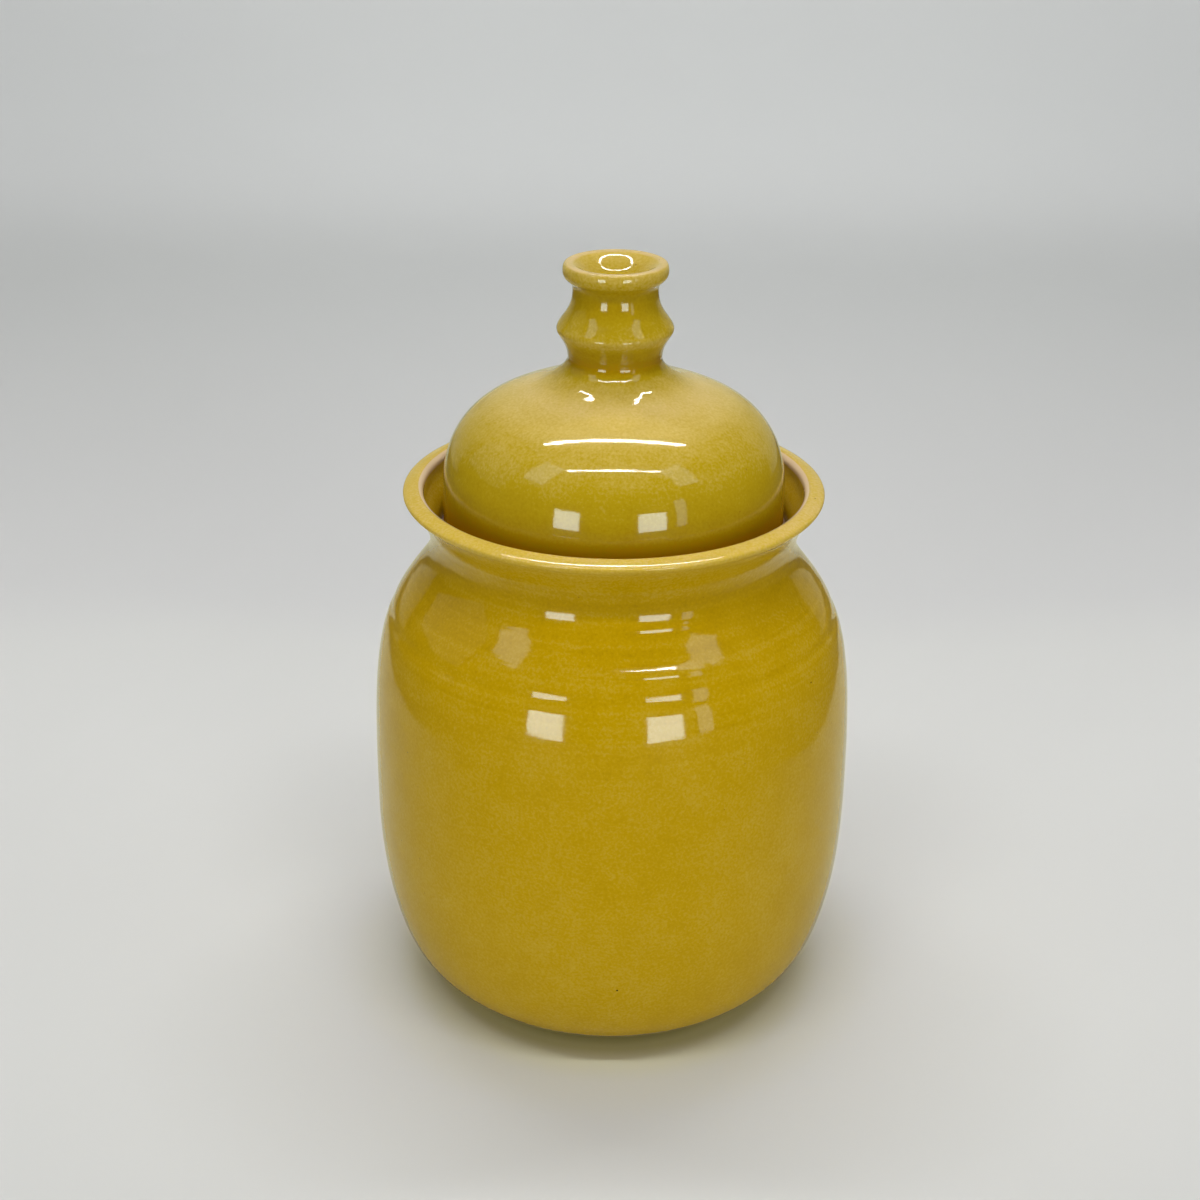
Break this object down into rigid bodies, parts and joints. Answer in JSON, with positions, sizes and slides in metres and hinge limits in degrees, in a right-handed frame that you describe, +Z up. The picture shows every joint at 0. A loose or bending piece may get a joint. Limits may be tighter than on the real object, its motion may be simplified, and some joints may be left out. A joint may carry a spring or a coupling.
{
  "type": "treat jar",
  "caption": "Glazed stoneware treat jar with a barrel body, a flared collar and a domed lid that lifts off by a turned, cupped knob.",
  "frame": {"origin": "centre of the foot ring's flat face, on the table", "axes": "+Z up along the jar's turning axis; the jar is round, so +X and +Y are any level directions"},
  "size_m": [0.1526, 0.1526, 0.24],
  "materials": {
    "glaze": "glossy mustard-yellow glaze with fine dark specks, paler where it thins over edges; bare buff clay on the foot ring"
  },
  "bodies": {
    "root": {"jar": "glaze", "lid": "glaze"}
  },
  "joints": []
}
